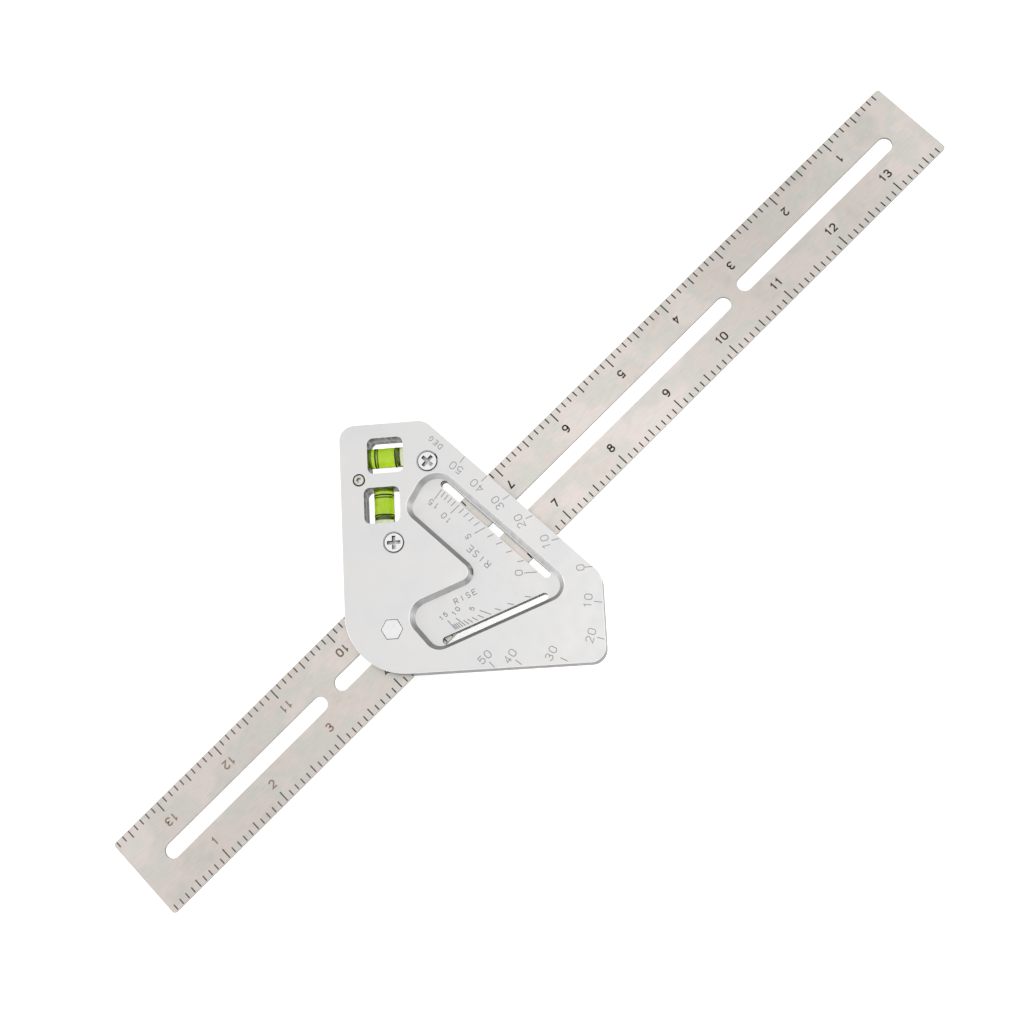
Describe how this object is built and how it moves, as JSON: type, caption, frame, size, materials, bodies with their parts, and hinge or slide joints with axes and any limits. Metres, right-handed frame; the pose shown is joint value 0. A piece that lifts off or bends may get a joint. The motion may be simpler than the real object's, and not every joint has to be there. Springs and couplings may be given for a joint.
{
  "type": "sliding bevel",
  "caption": "Sliding bevel with a slotted steel rule blade that swings and slides in a triangular aluminium stock, which carries spirit vials, a degree scale and a clamp knob.",
  "frame": {"origin": "on the pivot axis, at the stock's front face", "axes": "+X along the blade at rest, towards its long end; +Y across the blade, towards the vials; +Z out of the stock's front face"},
  "size_m": [0.35, 0.1124, 0.0213],
  "materials": {
    "plate_aluminium": "satin, fine-blasted and clear anodised; machined grey on the pocket walls",
    "spacer_aluminium": "plain sheet, mill finish",
    "blade_steel": "brushed along its length, with dark etched scales",
    "bush_brass": "turned",
    "bolt_steel": "bright nickel plate",
    "washer_steel": "zinc plate",
    "spring_steel": "oiled spring steel",
    "knob_plastic": "fine moulded grain",
    "insert_brass": "turned",
    "cap_screw_steel": "stainless with a warm tint",
    "vial_acrylic": "clear acrylic",
    "vial_fluid": "yellow-green fluid",
    "vial_air": "air bubble",
    "ring_ink": "printed black",
    "plug_plastic": "sealing plug",
    "scale_marks": "etched and darkened marks"
  },
  "bodies": {
    "stock": {"front_plate": "plate_aluminium", "back_plate": "plate_aluminium", "spacer_plate": "spacer_aluminium", "pivot_bolt": "bolt_steel", "cover_screws": "bolt_steel", "cap_screw": "cap_screw_steel", "upper_vial": "vial_acrylic", "upper_fluid": "vial_fluid", "upper_bubble": "vial_air", "upper_rings": "ring_ink", "upper_plugs": "plug_plastic", "lower_vial": "vial_acrylic", "lower_fluid": "vial_fluid", "lower_bubble": "vial_air", "lower_rings": "ring_ink", "lower_plugs": "plug_plastic"},
    "bush": {"slot_bush": "bush_brass"},
    "blade": {"blade": "blade_steel"},
    "clamp_washers": {"clamp_washer": "washer_steel", "spring_washer": "spring_steel"},
    "clamp_knob": {"knob": "knob_plastic", "knob_insert": "insert_brass"}
  },
  "joints": [
    {"name": "blade_swing", "type": "hinge", "parent": "stock", "child": "bush", "pos_m": [0, 0, -0.00465], "axis": [0, 0, 1], "range_deg": [-91.5, 8.5]},
    {"name": "blade_slide", "type": "slide", "parent": "bush", "child": "blade", "axis": [1, 0, 0], "range_m": [-0.1487, 0.0219]},
    {"name": "washer_lift", "type": "slide", "parent": "stock", "child": "clamp_washers", "axis": [0, 0, -1], "range_m": [0, 0.0007]},
    {"name": "knob_turn", "type": "hinge", "parent": "clamp_washers", "child": "clamp_knob", "pos_m": [0, 0, -0.0163], "axis": [0, 0, -1], "range_deg": [0, 360]}
  ],
  "couplings": [
    {"joint": "washer_lift", "follows": "knob_turn", "m_per_rad": 0.00011141}
  ]
}
